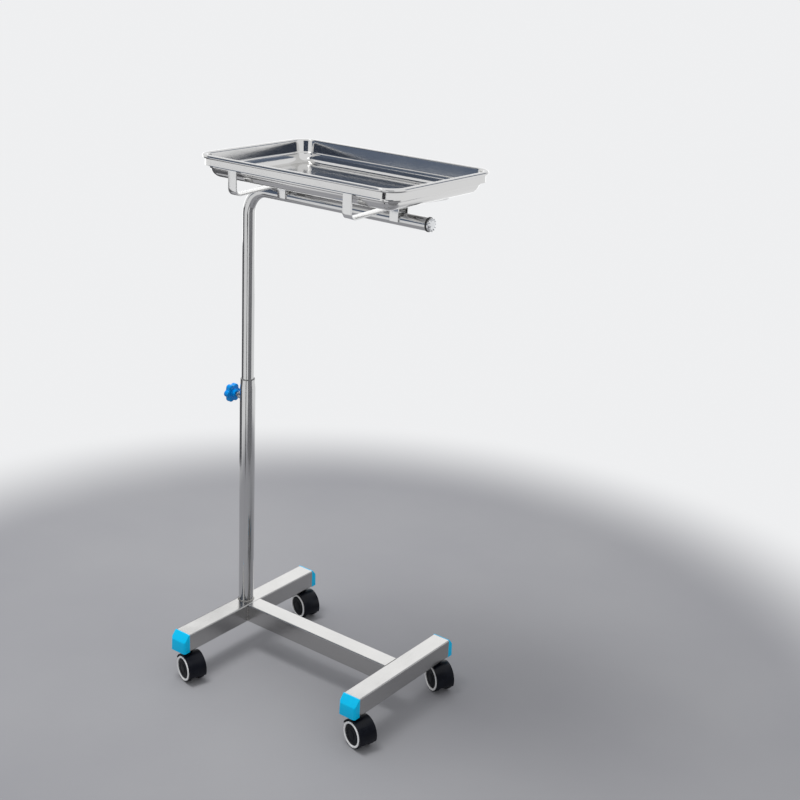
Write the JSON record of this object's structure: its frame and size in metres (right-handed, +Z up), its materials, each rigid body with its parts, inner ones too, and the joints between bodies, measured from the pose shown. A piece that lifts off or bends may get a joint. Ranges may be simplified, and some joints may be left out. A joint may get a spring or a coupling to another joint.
{
  "type": "medical treatment trolley",
  "caption": "Height-adjustable instrument tray stand: a lift-off steel tray on hooked straps and a bent sliding mast, with a clamp knob and an open-sided base on swivelling twin-wheel casters.",
  "frame": {"origin": "on the floor, under the middle of the whole stand as seen from above", "axes": "+Z up; +X along the arm, from the column towards the far leg; +Y along the legs, with the knob at the -X side of the column"},
  "size_m": [0.5195, 0.4207, 1.0905],
  "materials": {
    "polished_tube": "mirror-polished stainless tube",
    "tray_sheet": "mirror-polished stainless sheet",
    "cradle_steel": "polished stainless flat bar",
    "weld": "polished weld bead",
    "fastener_steel": "bright zinc",
    "cap_blue": "glossy blue moulding",
    "knob_blue": "glossy blue moulding",
    "bearing_plastic": "natural moulded",
    "plug_chrome": "bright chromed moulding",
    "caster_black": "satin black moulding",
    "wheel_rubber": "smooth tread",
    "ring_white": "pale trim"
  },
  "bodies": {
    "base": {"column_leg_tube": "polished_tube", "far_leg_tube": "polished_tube", "cross_tube": "polished_tube", "cross_welds": "weld", "column_tube": "polished_tube", "column_weld": "weld", "guide_bush": "bearing_plastic", "clamp_boss": "fastener_steel", "stem_nuts": "fastener_steel", "end_cap_front_left": "cap_blue", "end_cap_rear_left": "cap_blue", "end_cap_front_right": "cap_blue", "end_cap_rear_right": "cap_blue", "caster_stem_front_left": "fastener_steel", "caster_stem_rear_left": "fastener_steel", "caster_stem_front_right": "fastener_steel", "caster_stem_rear_right": "fastener_steel"},
    "pressure_pad": {"clamp_pad": "bearing_plastic"},
    "clamp_screw": {"clamp_stud": "fastener_steel", "clamp_knob": "knob_blue"},
    "wear_ring": {"foot_ring": "bearing_plastic"},
    "mast": {"mast_tube": "polished_tube", "foot_plug": "bearing_plastic", "foot_screw": "fastener_steel", "arm_plug_collar": "bearing_plastic", "arm_plug": "plug_chrome", "saddle_left": "cradle_steel", "strap_left": "cradle_steel", "saddle_right": "cradle_steel", "strap_right": "cradle_steel"},
    "tray": {"tray": "tray_sheet"},
    "caster_front_left": {"caster_hood_front_left": "caster_black", "caster_axle_front_left": "fastener_steel"},
    "wheel_outer_front_left": {"wheel_outer_front_left": "wheel_rubber", "wheel_ring_outer_front_left": "ring_white"},
    "wheel_inner_front_left": {"wheel_inner_front_left": "wheel_rubber", "wheel_ring_inner_front_left": "ring_white"},
    "caster_rear_left": {"caster_hood_rear_left": "caster_black", "caster_axle_rear_left": "fastener_steel"},
    "wheel_outer_rear_left": {"wheel_outer_rear_left": "wheel_rubber", "wheel_ring_outer_rear_left": "ring_white"},
    "wheel_inner_rear_left": {"wheel_inner_rear_left": "wheel_rubber", "wheel_ring_inner_rear_left": "ring_white"},
    "caster_front_right": {"caster_hood_front_right": "caster_black", "caster_axle_front_right": "fastener_steel"},
    "wheel_outer_front_right": {"wheel_outer_front_right": "wheel_rubber", "wheel_ring_outer_front_right": "ring_white"},
    "wheel_inner_front_right": {"wheel_inner_front_right": "wheel_rubber", "wheel_ring_inner_front_right": "ring_white"},
    "caster_rear_right": {"caster_hood_rear_right": "caster_black", "caster_axle_rear_right": "fastener_steel"},
    "wheel_outer_rear_right": {"wheel_outer_rear_right": "wheel_rubber", "wheel_ring_outer_rear_right": "ring_white"},
    "wheel_inner_rear_right": {"wheel_inner_rear_right": "wheel_rubber", "wheel_ring_inner_rear_right": "ring_white"}
  },
  "joints": [
    {"name": "mast_lift", "type": "slide", "parent": "base", "child": "wear_ring", "axis": [0, 0, 1], "range_m": [-0.34, 0.07]},
    {"name": "mast_turn", "type": "hinge", "parent": "wear_ring", "child": "mast", "pos_m": [-0.2103, 0.0019, 0.4745], "axis": [0, 0, 1], "continuous": true},
    {"name": "tray_lift", "type": "slide", "parent": "mast", "child": "tray", "axis": [0, 0, 1], "range_m": [0, 0.08]},
    {"name": "pad_slide", "type": "slide", "parent": "base", "child": "pressure_pad", "axis": [-1, 0, 0], "range_m": [0, 0.0026]},
    {"name": "knob_turn", "type": "hinge", "parent": "pressure_pad", "child": "clamp_screw", "pos_m": [-0.2413, 0.0019, 0.572], "axis": [-1, 0, 0], "range_deg": [0, 720]},
    {"name": "caster_front_left_swivel", "type": "hinge", "parent": "base", "child": "caster_front_left", "pos_m": [-0.2063, -0.1776, 0.06], "axis": [0, 0, 1], "continuous": true},
    {"name": "wheel_outer_front_left_spin", "type": "hinge", "parent": "caster_front_left", "child": "wheel_outer_front_left", "pos_m": [-0.19104, -0.18241, 0.0285], "axis": [0.3007, 0.9537, 0], "continuous": true},
    {"name": "wheel_inner_front_left_spin", "type": "hinge", "parent": "caster_front_left", "child": "wheel_inner_front_left", "pos_m": [-0.19104, -0.18241, 0.0285], "axis": [0.3007, 0.9537, 0], "continuous": true},
    {"name": "caster_rear_left_swivel", "type": "hinge", "parent": "base", "child": "caster_rear_left", "pos_m": [-0.2063, 0.1814, 0.06], "axis": [0, 0, 1], "continuous": true},
    {"name": "wheel_outer_rear_left_spin", "type": "hinge", "parent": "caster_rear_left", "child": "wheel_outer_rear_left", "pos_m": [-0.19092, 0.17699, 0.0285], "axis": [0.2756, 0.9613, 0], "continuous": true},
    {"name": "wheel_inner_rear_left_spin", "type": "hinge", "parent": "caster_rear_left", "child": "wheel_inner_rear_left", "pos_m": [-0.19092, 0.17699, 0.0285], "axis": [0.2756, 0.9613, 0], "continuous": true},
    {"name": "caster_front_right_swivel", "type": "hinge", "parent": "base", "child": "caster_front_right", "pos_m": [0.2077, -0.1326, 0.06], "axis": [0, 0, 1], "continuous": true},
    {"name": "wheel_outer_front_right_spin", "type": "hinge", "parent": "caster_front_right", "child": "wheel_outer_front_right", "pos_m": [0.22302, -0.13723, 0.0285], "axis": [0.289, 0.9573, 0], "continuous": true},
    {"name": "wheel_inner_front_right_spin", "type": "hinge", "parent": "caster_front_right", "child": "wheel_inner_front_right", "pos_m": [0.22302, -0.13723, 0.0285], "axis": [0.289, 0.9573, 0], "continuous": true},
    {"name": "caster_rear_right_swivel", "type": "hinge", "parent": "base", "child": "caster_rear_right", "pos_m": [0.2077, 0.1364, 0.06], "axis": [0, 0, 1], "continuous": true},
    {"name": "wheel_outer_rear_right_spin", "type": "hinge", "parent": "caster_rear_right", "child": "wheel_outer_rear_right", "pos_m": [0.22192, 0.12906, 0.0285], "axis": [0.4586, 0.8886, 0], "continuous": true},
    {"name": "wheel_inner_rear_right_spin", "type": "hinge", "parent": "caster_rear_right", "child": "wheel_inner_rear_right", "pos_m": [0.22192, 0.12906, 0.0285], "axis": [0.4586, 0.8886, 0], "continuous": true}
  ],
  "couplings": [
    {"joint": "pad_slide", "follows": "knob_turn", "m_per_rad": 0.00019894}
  ]
}
